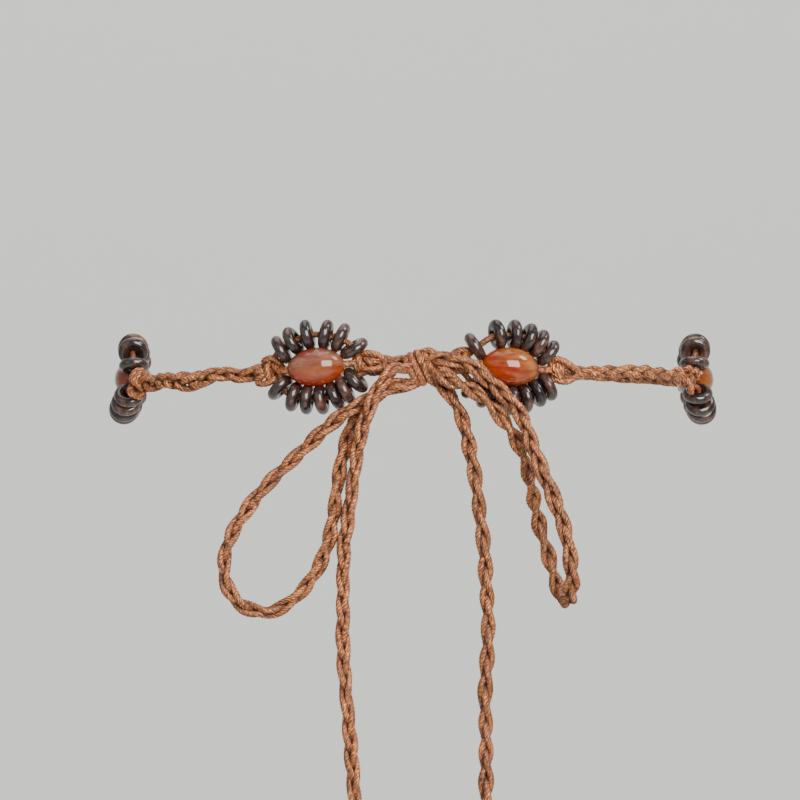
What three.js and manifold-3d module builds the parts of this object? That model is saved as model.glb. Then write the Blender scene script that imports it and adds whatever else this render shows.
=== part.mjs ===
// A thin belt plaited from waxed cotton cord, worn round a waist and tied in a bow at the front.
// Four flower medallions sit on it: an oval agate bead with six wooden rings above it and seven
// below. Millimetres, +Z up, the bow at the front on -Y. The origin is the middle of the waist
// that the belt goes round, at the belt's height.
import * as THREE from "three";
import { mergeVertices } from "three/addons/utils/BufferGeometryUtils.js";
import Module from "manifold-3d";

const wasm = await Module();
wasm.setup();

// The waist seen from above is a rounded oval. Angles round it are in degrees: 0 at the front,
// 90 at +X, -90 at -X and 180 at the back.
const WAIST = { halfWidth: 110.5, halfDepth: 84, roundness: 2.4 };
// The belt rides a little higher at the front and back than at the sides.
const BELT_HEIGHT = { middle: 0.8, swing: 2.8 };

const GAP = 0.35; // left between pieces that touch
const STRAND = 2.1; // diameter of one waxed strand
const STRAND_RISE = 2.5; // between the three strands where they leave a hitch knot
const PLAIT = { width: 6, thickness: 4.4, out: 2.6, step: 14 };
const HANGING_PLAIT = { width: 5.6, thickness: 4.2, step: 14 };

// The oval bead lies along the belt, and the rings are round, worn wooden rings.
const BEAD = { halfLength: 11.8, radius: 7.5, taper: 1.12, hole: 1.5, out: 7.2, sides: 12, bands: 8 };
const RING = { outer: 5.9, hole: 2.1, halfThickness: 2.3, sides: 10, corners: 5 };
const RING_CLEARANCE = 0.3; // from the bead to the rings round it
const RING_STRAND_INSET = 1.2; // the strand runs on the bead's side of each ring's hole
const SINK_AT = 20; // from a bead, where the waist's fall away from it is measured

// Each medallion: where it sits, how far its right end tilts up, how much deeper than the bead its
// rings lie, how far its lower row leans out, and its hitch knots at both ends: the distance along
// the belt from the bead, the height against the bead and how far the knot stands off the waist.
const MEDALLIONS = [
  {
    name: "left_side",
    angle: -88,
    tilt: 0,
    deep: 0,
    foot: 17,
    knots: [{ along: -20, rise: -0.5, out: 3.9 }, { along: 20.4, rise: -1.1, out: 5.2 }],
  },
  {
    name: "front_left",
    angle: -25.2,
    tilt: 6,
    deep: 1.8,
    foot: 0,
    knots: [{ along: -18.1, rise: -1, out: 3.9 }, { along: 21, rise: 1.2, out: 3.9 }],
  },
  {
    name: "front_right",
    angle: 24.4,
    tilt: -6.5,
    deep: 1.8,
    foot: 0,
    knots: [{ along: -19.2, rise: 2.4, out: 3.9 }, { along: 19.2, rise: -1.2, out: 3.9 }],
  },
  {
    name: "right_side",
    angle: 88,
    tilt: 0,
    deep: 0,
    foot: 12,
    knots: [{ along: -20, rise: 0.4, out: 3.9 }, { along: 20, rise: -0.5, out: 3.9 }],
  },
];

// Rings round a bead, in degrees from the belt's own direction: where each one's middle is, which
// way it points, how far it is turned about that, and how far it stands off its neighbours' curve.
const PETALS = {
  left_side: {
    upper: [
      { at: 150, points: 128, turned: -4, lift: -0.2 },
      { at: 127, points: 118, turned: 0, lift: 0 },
      { at: 103, points: 102, turned: -3, lift: 0.1 },
      { at: 78, points: 82, turned: 4, lift: 0.1 },
      { at: 54, points: 66, turned: 0, lift: 0.3 },
      { at: 21, points: 21, turned: 0, lift: 0.1 },
    ],
    lower: [
      { at: -153, points: -138, turned: 0, lift: 0.2 },
      { at: -130, points: -116, turned: 3, lift: -0.2 },
      { at: -108, points: -100, turned: 0, lift: -0.3 },
      { at: -88, points: -88, turned: 0, lift: -0.5 },
      { at: -66, points: -74, turned: 0, lift: -0.5 },
      { at: -44, points: -60, turned: 2, lift: -0.3 },
      { at: -26, points: -46, turned: 3, lift: 0 },
    ],
  },
  front_left: {
    upper: [
      { at: 146, points: 115, turned: 4, lift: 0.3 },
      { at: 123, points: 114, turned: -6, lift: -0.1 },
      { at: 99, points: 98, turned: 4, lift: 0.2 },
      { at: 71, points: 73, turned: 2, lift: -0.2 },
      { at: 48, points: 58, turned: 5, lift: 0.3 },
      { at: 22, points: 24, turned: 15, lift: 0.2 },
    ],
    lower: [
      { at: -156, points: -140, turned: 3, lift: 0.7 },
      { at: -131, points: -113, turned: 0, lift: 0.3 },
      { at: -110, points: -101, turned: -1, lift: -0.2 },
      { at: -88, points: -87, turned: 1, lift: -0.1 },
      { at: -66, points: -71, turned: -2, lift: -0.2 },
      { at: -48, points: -69, turned: -2, lift: -0.3 },
      { at: -26, points: -55, turned: 6, lift: 0.3 },
    ],
  },
  front_right: {
    upper: [
      { at: 154, points: 130, turned: -6, lift: -0.3 },
      { at: 114, points: 108, turned: 10, lift: 0 },
      { at: 88, points: 94, turned: 6, lift: -0.2 },
      { at: 67, points: 74, turned: 7, lift: 0 },
      { at: 48, points: 65, turned: 6, lift: 0.3 },
      { at: 28, points: 56, turned: 6, lift: 0.4 },
    ],
    lower: [
      { at: -143, points: -130, turned: -3, lift: 0.8 },
      { at: -122, points: -109, turned: -1, lift: 0.1 },
      { at: -102, points: -96, turned: -2, lift: -0.1 },
      { at: -82, points: -84, turned: -6, lift: 0 },
      { at: -62, points: -71, turned: -11, lift: -0.2 },
      { at: -40, points: -59, turned: -5, lift: -0.4 },
      { at: -22, points: -55, turned: -7, lift: 0.7 },
    ],
  },
  right_side: {
    upper: [
      { at: 156, points: 166, turned: 0, lift: 0.6 },
      { at: 122, points: 110, turned: 0, lift: 0.3 },
      { at: 101, points: 98, turned: 0, lift: 0.1 },
      { at: 80, points: 84, turned: -2, lift: 0 },
      { at: 59, points: 68, turned: 0, lift: 0.4 },
      { at: 34, points: 48, turned: 0, lift: 0 },
    ],
    lower: [
      { at: -157, points: -147, turned: 0, lift: 0.1 },
      { at: -135, points: -125, turned: 2, lift: -0.1 },
      { at: -114, points: -108, turned: 0, lift: -0.3 },
      { at: -94, points: -93, turned: 0, lift: -0.3 },
      { at: -72, points: -78, turned: 0, lift: -0.3 },
      { at: -50, points: -63, turned: 0, lift: -0.2 },
      { at: -28, points: -48, turned: 3, lift: 0.1 },
    ],
  },
};

// Knots: half sizes along the belt, into the waist and upward, then each turn of strand that
// stands out of the core, with its lean from upright in degrees and its shift along the belt.
const HITCH = { halfLength: 4.3, halfDepth: 3.4, halfHeight: 4.5, lean: 0, wraps: [] };
const BOW_KNOT_AT = new THREE.Vector3(2.1, -90.1, 2.3);
const BOW_KNOT = {
  halfLength: 4.8,
  halfDepth: 5.6,
  halfHeight: 7.4,
  lean: -22,
  wraps: [
    { lean: -4, shift: -1.7 },
    { lean: -4, shift: 1.2 },
  ],
};
const TAIL_KNOT = {
  halfLength: 3.6,
  halfDepth: 3.2,
  halfHeight: 4.2,
  lean: 0,
  wraps: [{ lean: 38, shift: 0 }],
};
const WRAP_STANDS_OUT = 0.5; // from a knot's core
const KNOT_ROOM = 0.7; // how far the turns stand out of the knot's oval at its shoulders
// Where the belt's two ends reach inside the bow's knot.
const BELT_END_LEFT = new THREE.Vector3(0.5, -88, 4.6);
const BELT_END_RIGHT = new THREE.Vector3(4.2, -87.8, 6);
// The plain stretch round the back: the angle at which it begins, and its number of parts.
const BACK = { from: 110, parts: 16 };
// The three loose strand ends below a tail's knot: rows of x, y and z from inside the knot down.
const TAIL_ENDS = [
  [[-1.2, -0.8, -1], [-1.6, -1, -4.2], [-2.6, 0.6, -14.2]],
  [[0, 0, -1], [0, 0, -4.2], [0, 0, -15.2]],
  [[1.2, 0.8, -1], [1.6, 1, -4.2], [2.6, -0.6, -14.2]],
];

// Routes by hand. The plaits on the waist are rows of angle and height; the bow hangs free, and
// its rows are x, y and z.
const BRAID_LEFT_ROUTE = [
  [-71.3, -4.3],
  [-68.5, -2.9],
  [-65.5, -2.5],
  [-62, -3.1],
  [-58.5, -3.9],
  [-55, -3.5],
  [-51.5, -0.8],
  [-47.5, 0.1],
  [-44.5, -1.1],
  [-43, -0.6],
];
const BRAID_RIGHT_ROUTE = [
  [43, 0.6],
  [48, 0.8],
  [53, 0.8],
  [58, 1],
  [62, 0.5],
  [66, 0],
  [70.5, -0.7],
];
const TAIL_LEFT_ROUTE = [
  [-1.1, -92, 2.2],
  [-4.3, -94.8, 2.1],
  [-7.5, -96.2, 2.1],
  [-10.7, -97.3, -0.7],
  [-13.8, -98.4, -4.6],
  [-16.6, -98.8, -10.2],
  [-19, -98.4, -16.2],
  [-21.8, -97.2, -25.7],
  [-24.2, -96.5, -40.4],
  [-26.2, -96.5, -55.1],
  [-28, -97, -67.8],
  [-28.5, -97.5, -81.3],
  [-28.5, -98, -94.8],
  [-28.5, -98.5, -108.3],
  [-27.7, -99, -122.1],
  [-26.3, -99, -137.6],
  [-25, -99, -153.5],
  [-24, -99, -167.4],
  [-23.4, -99, -181],
];
const TAIL_RIGHT_ROUTE = [
  [3.7, -88, 0.6],
  [6.5, -88.2, -1.8],
  [10.1, -88.4, -4.6],
  [13.7, -88.8, -8.2],
  [17.3, -89.4, -14.2],
  [20, -90.2, -21.8],
  [22.4, -91.5, -32.9],
  [24.4, -92.6, -43.7],
  [25.9, -94, -56.4],
  [27.5, -95.2, -69.1],
  [28.3, -96.5, -84.1],
  [29.1, -97.5, -98.8],
  [28.6, -98.2, -113.8],
  [27.8, -98.6, -128.9],
  [28.2, -99, -143.6],
  [28.2, -99, -157.5],
  [28.2, -99, -181],
];
const LOOP_LEFT_ROUTE = [
  [0.9, -92.6, -3.3],
  [-2.3, -92.4, -4.6],
  [-5.9, -92.3, -5.4],
  [-10.7, -92.6, -7],
  [-16.3, -93.4, -9.6],
  [-20.6, -94.8, -11.6],
  [-25, -95.8, -14],
  [-30.4, -96, -17.8],
  [-36.6, -95.2, -23],
  [-45.3, -94, -31.3],
  [-52.1, -93.5, -37.7],
  [-59.2, -94, -44.8],
  [-67.2, -95, -54.8],
  [-72.3, -96, -63.1],
  [-75.1, -96.5, -70.6],
  [-75.8, -97, -78.2],
  [-74.2, -97, -85.3],
  [-69.9, -97, -91.3],
  [-63.5, -97, -94.4],
  [-57.6, -97, -94.8],
  [-52, -97, -92.5],
  [-46.4, -97, -88.1],
  [-41.7, -96.7, -82.5],
  [-37.7, -96.2, -75.8],
  [-34.9, -95.6, -68.7],
  [-33, -94.8, -60.7],
  [-31.8, -93.8, -52.4],
  [-30.6, -92.6, -42.9],
  [-28.6, -91.3, -32.9],
  [-26.3, -89.8, -24.2],
  [-23.5, -88.5, -17.4],
  [-18.7, -87.6, -12.2],
  [-12.3, -87.3, -8.6],
  [-5.9, -87.3, -5.8],
  [-2.3, -87.5, -4.6],
  [0.9, -87.1, -3.1],
];
const LOOP_RIGHT_ROUTE = [
  [3.7, -92, 3.7],
  [6.8, -94, 4.9],
  [10.8, -96, 5.7],
  [15.6, -97.5, 5.3],
  [20.7, -98.6, 3.7],
  [25.8, -99.2, 0.5],
  [30.6, -100, -4.3],
  [37.7, -101.5, -11],
  [42.8, -103.5, -18.5],
  [46.3, -106, -28.4],
  [49.7, -109, -37.4],
  [53.6, -112, -46.8],
  [57, -114.5, -55.8],
  [59.3, -116, -63.6],
  [60.7, -116.8, -71.1],
  [61.5, -116, -78.6],
  [61.4, -112.5, -85.4],
  [60.5, -107, -89.6],
  [58.7, -100.5, -89.9],
  [56.9, -95.3, -85.8],
  [55, -93, -79.1],
  [52.7, -92.3, -70.8],
  [50.3, -92.5, -63.2],
  [48.3, -93.5, -55.2],
  [46.2, -95, -44.4],
  [43, -96.5, -32.5],
  [38.2, -97.8, -22.9],
  [32.2, -98.6, -15],
  [26.7, -98.6, -9.4],
  [21.1, -98, -5.8],
  [16.4, -97, -3.8],
  [12, -95.5, -1.9],
  [7.6, -94, 0.5],
  [4.1, -92.5, 1.8],
];

const cordMaterial = new THREE.MeshStandardMaterial({ color: 0xb5713f, roughness: 0.62, metalness: 0 });
const agateMaterial = new THREE.MeshStandardMaterial({ color: 0xb8501e, roughness: 0.12, metalness: 0 });
const woodMaterial = new THREE.MeshStandardMaterial({ color: 0x3a241f, roughness: 0.28, metalness: 0 });

const radians = THREE.MathUtils.degToRad;
const toPoint = (row) => new THREE.Vector3(...row);
const UP = new THREE.Vector3(0, 0, 1);

// A closed geometry as a solid, and a solid as a geometry.
function toSolid(geometry) {
  const bare = geometry.clone();
  bare.deleteAttribute("normal");
  bare.deleteAttribute("uv");
  const merged = mergeVertices(bare, 1e-3);
  return new wasm.Manifold(
    new wasm.Mesh({
      numProp: 3,
      vertProperties: merged.attributes.position.array,
      triVerts: new Uint32Array(merged.index.array),
    }),
  );
}

function toGeometry(solid) {
  const mesh = solid.getMesh();
  const geometry = new THREE.BufferGeometry();
  geometry.setAttribute("position", new THREE.BufferAttribute(new Float32Array(mesh.vertProperties), 3));
  geometry.setIndex(new THREE.BufferAttribute(new Uint32Array(mesh.triVerts), 1));
  geometry.computeVertexNormals();
  return geometry;
}

function joined(solids) {
  return solids.reduce((whole, piece) => whole.add(piece));
}

function cutBy(solid, cutters) {
  return cutters.reduce((rest, cutter) => rest.subtract(cutter), solid);
}

function makeMesh(name, geometry, material) {
  const mesh = new THREE.Mesh(geometry, material);
  mesh.name = name;
  return mesh;
}

// The waist line and places on it.
function waistPoint(angle) {
  const across = Math.abs(Math.sin(radians(angle)) / WAIST.halfWidth) ** WAIST.roundness;
  const deep = Math.abs(Math.cos(radians(angle)) / WAIST.halfDepth) ** WAIST.roundness;
  const radius = (across + deep) ** (-1 / WAIST.roundness);
  return new THREE.Vector3(radius * Math.sin(radians(angle)), -radius * Math.cos(radians(angle)), 0);
}

function waistTangent(angle) {
  return waistPoint(angle + 0.5).sub(waistPoint(angle - 0.5)).normalize();
}

function placeOn(angle, out, height) {
  const tangent = waistTangent(angle);
  const outward = new THREE.Vector3(tangent.y, -tangent.x, 0);
  return waistPoint(angle).addScaledVector(outward, out).setZ(height);
}

function beltHeight(angle) {
  return BELT_HEIGHT.middle + BELT_HEIGHT.swing * Math.cos(2 * radians(angle));
}

// The angle that lies a distance in millimetres further along the waist.
function angleAlong(angle, distance) {
  const steps = 20;
  let at = angle;
  for (let i = 0; i < steps; i += 1) {
    const millimetresPerDegree = waistPoint(at + 0.5).distanceTo(waistPoint(at - 0.5));
    at += distance / steps / millimetresPerDegree;
  }
  return at;
}

// A group on the waist whose x runs along the belt, y into the waist and z up.
function groupOnWaist(angle, out, height, tilt) {
  const group = new THREE.Group();
  const tangent = waistTangent(angle);
  group.position.copy(placeOn(angle, out, height));
  group.rotation.set(0, radians(-tilt), Math.atan2(tangent.y, tangent.x), "ZXY");
  group.updateMatrixWorld(true);
  return group;
}

// A smooth curve whose section keeps its width turned one way, carried along without twist.
class CarriedCurve extends THREE.CatmullRomCurve3 {
  constructor(points, wide) {
    super(points, false, "centripetal");
    this.wide = wide.clone();
    this.arcLengthDivisions = 600;
  }

  stationTangent(i, segments) {
    return this.getTangentAt(i / segments);
  }

  computeFrenetFrames(segments) {
    const frames = { tangents: [], normals: [], binormals: [] };
    const wide = this.wide.clone();
    for (let i = 0; i <= segments; i += 1) {
      const tangent = this.stationTangent(i, segments);
      wide.addScaledVector(tangent, -wide.dot(tangent)).normalize();
      frames.tangents.push(tangent);
      frames.normals.push(wide.clone());
      frames.binormals.push(tangent.clone().cross(wide));
    }
    return frames;
  }
}

// A strand that runs straight from each of its points to the next.
class PointedCurve extends CarriedCurve {
  getSpacedPoints() {
    return this.points.map((point) => point.clone());
  }

  stationTangent(i) {
    const before = this.points[Math.max(i - 1, 0)];
    const after = this.points[Math.min(i + 1, this.points.length - 1)];
    return after.clone().sub(before).normalize();
  }
}

function ovalShape(width, thickness, sides) {
  const points = [];
  for (let i = 0; i < sides; i += 1) {
    const turn = (2 * Math.PI * (i + 0.5)) / sides;
    const reach = 1 / Math.cos(Math.PI / sides);
    const place = new THREE.Vector2(Math.cos(turn) * width, Math.sin(turn) * thickness);
    points.push(place.multiplyScalar(reach / 2));
  }
  return new THREE.Shape(points);
}

// A flat plait's solid, a smooth oval tube.
function plaitAlong(points, size) {
  const curve = new CarriedCurve(points, UP);
  const steps = Math.round(curve.getLength() / size.step);
  const shape = ovalShape(size.width, size.thickness, 8);
  return toSolid(new THREE.ExtrudeGeometry(shape, { steps, extrudePath: curve, bevelEnabled: false }));
}

// One strand's solid, straight from point to point.
function strandThrough(points, wide = UP) {
  const curve = new PointedCurve(points, wide);
  const shape = ovalShape(STRAND, STRAND, 5);
  const steps = points.length - 1;
  return toSolid(new THREE.ExtrudeGeometry(shape, { steps, extrudePath: curve, bevelEnabled: false }));
}

// A rounded core of half sizes length, depth and height along x, y and z.
function roundedCore(size, grow) {
  const geometry = new THREE.SphereGeometry(1, 8, 6);
  geometry.rotateX(Math.PI / 2);
  geometry.scale(size.halfLength + grow, size.halfDepth + grow, size.halfHeight + grow);
  return toSolid(geometry);
}

// One turn of strand round a core: a ring in the y-z plane, leaning in the x-z plane.
function wrapRound(size, wrap) {
  const radius = STRAND * 0.5;
  const geometry = new THREE.TorusGeometry(size.halfHeight - radius, radius, 4, 9);
  geometry.rotateY(Math.PI / 2);
  geometry.scale(1, (size.halfDepth - radius) / (size.halfHeight - radius), 1);
  geometry.translate(wrap.shift, 0, 0);
  geometry.rotateY(radians(wrap.lean));
  return toSolid(geometry);
}

// A knot: a core with its turns of strand round it.
function knotSolid(size) {
  const core = roundedCore(size, size.wraps.length > 0 ? -WRAP_STANDS_OUT : 0);
  const wraps = size.wraps.map((wrap) => wrapRound(size, wrap));
  return joined([core, ...wraps]).rotate([0, size.lean, 0]);
}

// The space that the cords which end at a knot stay out of.
function knotSpace(size) {
  const standsOut = size.wraps.length > 0 ? KNOT_ROOM : 0;
  return roundedCore(size, GAP + standsOut).rotate([0, size.lean, 0]);
}

// A tail's knot, with the loose ends of its three strands below it.
function tailKnotSolid() {
  const across = new THREE.Vector3(1, 0, 0);
  const ends = TAIL_ENDS.map((rows) => strandThrough(rows.map(toPoint), across));
  return joined([knotSolid(TAIL_KNOT), ...ends]);
}

// An oval bead along x with slightly pointed ends, drilled through.
function beadGeometry() {
  const points = [];
  const first = Math.asin((BEAD.hole / BEAD.radius) ** (1 / BEAD.taper));
  for (let i = 0; i <= BEAD.bands; i += 1) {
    const turn = first + ((Math.PI - 2 * first) * i) / BEAD.bands;
    const radius = BEAD.radius * Math.sin(turn) ** BEAD.taper;
    points.push(new THREE.Vector2(radius, -BEAD.halfLength * Math.cos(turn)));
  }
  points.push(points[0].clone());
  const geometry = new THREE.LatheGeometry(points, BEAD.sides);
  geometry.rotateZ(-Math.PI / 2);
  return geometry;
}

// A wooden ring round y. Its section is rounded, with a corner outside and a flat in the hole.
function ringGeometry() {
  const flat = Math.cos(Math.PI / RING.corners);
  const reach = (RING.outer - RING.hole) / (1 + flat);
  const points = [];
  for (let i = 0; i <= RING.corners; i += 1) {
    const turn = (2 * Math.PI * i) / RING.corners;
    const radius = RING.outer - reach + reach * Math.cos(turn);
    points.push(new THREE.Vector2(radius, RING.halfThickness * Math.sin(turn)));
  }
  return new THREE.LatheGeometry(points, RING.sides);
}

// A ring's middle, the way it points and its axle, in its medallion's own frame. The row bends
// back with the waist by sink, which is how far the waist has fallen away at the knots, and its
// lower part leans out over the hip.
function ringPlace(row, medallion, sink) {
  const at = radians(row.at);
  const edge = new THREE.Vector3(BEAD.halfLength * Math.cos(at), 0, BEAD.radius * Math.sin(at));
  const away = new THREE.Vector3(Math.cos(at) / BEAD.halfLength, 0, Math.sin(at) / BEAD.radius).normalize();
  const reach = RING.outer + RING_CLEARANCE + row.lift;
  const middle = edge.addScaledVector(away, reach);
  const leansOut = Math.max(-middle.z, 0) * Math.tan(radians(medallion.foot));
  middle.y = medallion.deep + sink * (middle.x / SINK_AT) ** 2 - leansOut;
  const points = new THREE.Vector3(Math.cos(radians(row.points)), 0, Math.sin(radians(row.points)));
  const axle = new THREE.Vector3(-points.z, 0, points.x).applyAxisAngle(points, radians(row.turned));
  return { middle, points, axle };
}

function ringSolid(place) {
  const side = place.points.clone().cross(place.axle);
  const matrix = new THREE.Matrix4().makeBasis(place.points, place.axle, side).setPosition(place.middle);
  return toSolid(ringGeometry().applyMatrix4(matrix));
}

// A row of rings on its strand, one body: the strand bites a little into each ring's hole.
function ringRow(places, from, to, side, clearOf) {
  const through = places.flatMap((place) => {
    const inHole = place.middle.clone().addScaledVector(place.points, -RING_STRAND_INSET);
    const reach = RING.halfThickness * -side;
    return [-reach, reach].map((along) => inHole.clone().addScaledVector(place.axle, along));
  });
  const raise = new THREE.Vector3(0, 0, side * STRAND_RISE);
  const route = [from.clone().add(raise), ...through, to.clone().add(raise)];
  const strand = cutBy(strandThrough(route), clearOf);
  return joined([strand, ...places.map(ringSolid)]);
}

// The strand through a bead, from knot to knot.
function beadCord(from, to, clearOf) {
  const mouths = [-1, 1].map((side) => new THREE.Vector3(side * (BEAD.halfLength + GAP), 0, 0));
  return cutBy(strandThrough([from, ...mouths, to]), clearOf);
}

function makeMedallion(row) {
  const height = beltHeight(row.angle);
  const group = groupOnWaist(row.angle, BEAD.out, height, row.tilt);
  const knots = row.knots.map((knot) => {
    return groupOnWaist(angleAlong(row.angle, knot.along), knot.out, height + knot.rise, 0);
  });
  const toMedallion = group.matrixWorld.clone().invert();
  const inMedallion = knots.map((knot) => toMedallion.clone().multiply(knot.matrixWorld));
  const ends = inMedallion.map((matrix) => new THREE.Vector3().applyMatrix4(matrix));
  const clearOf = inMedallion.map((matrix) => knotSpace(HITCH).transform(matrix.elements));
  const standOff = BEAD.out - (row.knots[0].out + row.knots[1].out) / 2;
  const sink = (ends[0].y + ends[1].y) / 2 - standOff;

  group.add(makeMesh(row.name + "_bead", beadGeometry(), agateMaterial));
  const cord = beadCord(ends[0], ends[1], clearOf);
  group.add(makeMesh(row.name + "_bead_cord", toGeometry(cord), cordMaterial));
  for (const [part, side] of [["upper", 1], ["lower", -1]]) {
    const places = PETALS[row.name][part].map((petal) => ringPlace(petal, row, sink));
    const solid = ringRow(places, ends[0], ends[1], side, clearOf);
    group.add(makeMesh(row.name + "_rings_" + part, toGeometry(solid), woodMaterial));
  }
  const whole = new THREE.Group();
  whole.add(group);
  knots.forEach((knot, i) => {
    knot.add(makeMesh(row.name + "_knot_" + "ab"[i], toGeometry(knotSolid(HITCH)), cordMaterial));
    whole.add(knot);
  });
  return { whole, knots };
}

// A plait along the waist from one place to another, its width upright.
function waistPlait(name, start, route, end, clearOf) {
  const middle = route.map(([angle, height]) => placeOn(angle, PLAIT.out, height));
  const tube = plaitAlong([start, ...middle, end], PLAIT);
  return makeMesh(name, toGeometry(cutBy(tube, clearOf)), cordMaterial);
}

// A hanging plait of the bow, its width upright where it leaves the knot.
function hangingPlait(name, route, clearOf) {
  const tube = plaitAlong(route.map(toPoint), HANGING_PLAIT);
  return makeMesh(name, toGeometry(cutBy(tube, clearOf)), cordMaterial);
}

// The plain stretch round the back, from the right side's knot to the left side's.
function backRoute() {
  const route = [];
  for (let i = 1; i < BACK.parts; i += 1) {
    const angle = BACK.from + ((360 - 2 * BACK.from) * i) / BACK.parts;
    route.push([angle, beltHeight(angle)]);
  }
  return route;
}

// Where a plait begins beside a hitch knot: side is 1 past the knot and -1 before it.
function besideKnot(knot, side) {
  return new THREE.Vector3(side * (HITCH.halfLength + GAP), 0, 0).applyMatrix4(knot.matrixWorld);
}

function makeBelt() {
  const belt = new THREE.Group();
  const beside = {};
  for (const row of MEDALLIONS) {
    const medallion = makeMedallion(row);
    belt.add(medallion.whole);
    beside[row.name + "_a"] = besideKnot(medallion.knots[0], -1);
    beside[row.name + "_b"] = besideKnot(medallion.knots[1], 1);
  }
  const plaits = [
    ["braid_back", "right_side_b", backRoute(), "left_side_a"],
    ["braid_left", "left_side_b", BRAID_LEFT_ROUTE, "front_left_a"],
    ["braid_right", "front_right_b", BRAID_RIGHT_ROUTE, "right_side_a"],
  ];
  for (const [name, from, route, to] of plaits) {
    belt.add(waistPlait(name, beside[from], route, beside[to], []));
  }

  const clearOfBow = knotSpace(BOW_KNOT).translate(BOW_KNOT_AT.toArray());
  const bowKnot = makeMesh("bow_knot", toGeometry(knotSolid(BOW_KNOT)), cordMaterial);
  bowKnot.position.copy(BOW_KNOT_AT);
  belt.add(bowKnot);
  belt.add(waistPlait("braid_front_left", beside.front_left_b, [], BELT_END_LEFT, [clearOfBow]));
  belt.add(waistPlait("braid_front_right", BELT_END_RIGHT, [], beside.front_right_a, [clearOfBow]));
  belt.add(hangingPlait("bow_loop_left", LOOP_LEFT_ROUTE, [clearOfBow]));
  belt.add(hangingPlait("bow_loop_right", LOOP_RIGHT_ROUTE, [clearOfBow]));
  for (const [side, route] of [["left", TAIL_LEFT_ROUTE], ["right", TAIL_RIGHT_ROUTE]]) {
    const foot = toPoint(route.at(-1));
    const clearOfKnot = knotSpace(TAIL_KNOT).translate(foot.toArray());
    belt.add(hangingPlait("tail_" + side, route, [clearOfBow, clearOfKnot]));
    const knot = makeMesh("tail_knot_" + side, toGeometry(tailKnotSolid()), cordMaterial);
    knot.position.copy(foot);
    belt.add(knot);
  }
  return belt;
}

export default makeBelt();
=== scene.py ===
# Looks of a thin belt plaited from waxed cotton cord, with four flowers of an oval agate bead and
# dark wooden ring beads, worn round a waist and tied in a bow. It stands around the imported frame.
# Metres, +Z up, the bow at the front on -Y. Angles round the waist are in degrees: 0 at the front,
# 90 at +X, -90 at -X and 180 at the back.
import math

import bpy
import numpy as np
from mathutils import Matrix, Vector


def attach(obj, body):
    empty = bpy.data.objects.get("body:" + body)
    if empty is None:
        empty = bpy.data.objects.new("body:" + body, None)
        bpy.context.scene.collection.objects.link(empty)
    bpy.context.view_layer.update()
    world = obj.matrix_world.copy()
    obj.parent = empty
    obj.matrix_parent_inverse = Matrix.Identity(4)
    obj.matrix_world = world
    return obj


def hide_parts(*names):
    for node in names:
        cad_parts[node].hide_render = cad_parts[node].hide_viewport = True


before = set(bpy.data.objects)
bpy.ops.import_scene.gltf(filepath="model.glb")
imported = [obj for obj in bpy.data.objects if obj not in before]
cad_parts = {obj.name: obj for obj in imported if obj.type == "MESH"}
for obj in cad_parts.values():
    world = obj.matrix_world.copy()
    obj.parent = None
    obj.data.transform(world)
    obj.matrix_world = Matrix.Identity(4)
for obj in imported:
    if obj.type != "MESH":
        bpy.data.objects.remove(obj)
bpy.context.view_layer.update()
draws = np.random.default_rng(11)

# The waist seen from above is a rounded oval, and the belt rides higher at the front and back.
WAIST = {"half_width": 0.1105, "half_depth": 0.084, "roundness": 2.4}
BELT_HEIGHT = {"middle": 0.0008, "swing": 0.0028}
UP = np.array([0.0, 0.0, 1.0])

# Radii of the waxed strand in each place. Its yarns wind round it as low ridges, and it swells and
# shrinks a little along its length, in waves per metre.
STRAND = 0.0013
RING_STRAND = 0.0012
HITCH_STRAND = 0.0013
KNOT_STRAND = 0.0014
BOW_STRAND = 0.0013
YARNS = {"count": 6, "lead": 0.0085, "height": 0.00016}
# Just under 2, so that no root of less than 0 is taken between two yarns.
YARN_SLOPE = 1.98
SWELL = {"share": 0.04, "fast": 610, "slow": 243}
STRAND_SIDES = 24
LINE_STEP = 0.0006
# Where the rounded end of a strand is cut off flat, in radii from its tip.
TIP_CUT = 0.05
# A direction that no strand runs in, from which its sections start.
FIRST_ACROSS = np.array([0.31, 0.52, 0.79])
# Painted crevice shade: a strand is dark within this distance of its plait's middle, and the
# painted shade fades out further off.
PAINTED_SHADE_WITHIN = 0.0006
PAINTED_SHADE_FADES_OVER = 0.0016
# Painted shade all round the strands of rings, which run in the rings' shadow, and how far off a
# hitch's middle they leave it.
RING_STRAND_SHADE = 0.45
STRAND_RISE = 0.0025

# Plaits of three strands: half the swing across and through the plait, the length of one full
# swing, the turn of the plait about its own line, how much the strands run ahead or behind, and
# over what length they gather at the plait's ends.
BELT_PLAIT = {
    "strand": STRAND, "across": 0.0019, "deep": 0.0013, "pitch": 0.029, "turn": 0,
    "loose": 0.45, "gather_over": 0.006,
}
RIGHT_PLAIT = {**BELT_PLAIT, "across": 0.00145, "gather_over": 0.014}
BACK_PLAIT = {**BELT_PLAIT, "across": 0.0014}
HANGING_PLAIT = {
    "strand": BOW_STRAND, "across": 0.0016, "deep": 0.00135, "pitch": 0.0365, "turn": 20,
    "loose": 0.12, "gather_over": 0.006,
}
OPEN_PLAIT = {**HANGING_PLAIT, "across": 0.0019, "deep": 0.0013, "turn": 10, "loose": 0.2}
# How far a plait's middle stands off the waist, and how wide it still is at its very ends.
PLAIT_OUT = 0.0026
GATHERED = 0.4
# Waves per metre in how far a plait's strands run ahead and in how wide it is, and their shares.
WOBBLE = {"ahead": 97, "ahead_again": 211, "again_share": 0.5, "width": 141, "width_share": 0.1}

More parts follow.
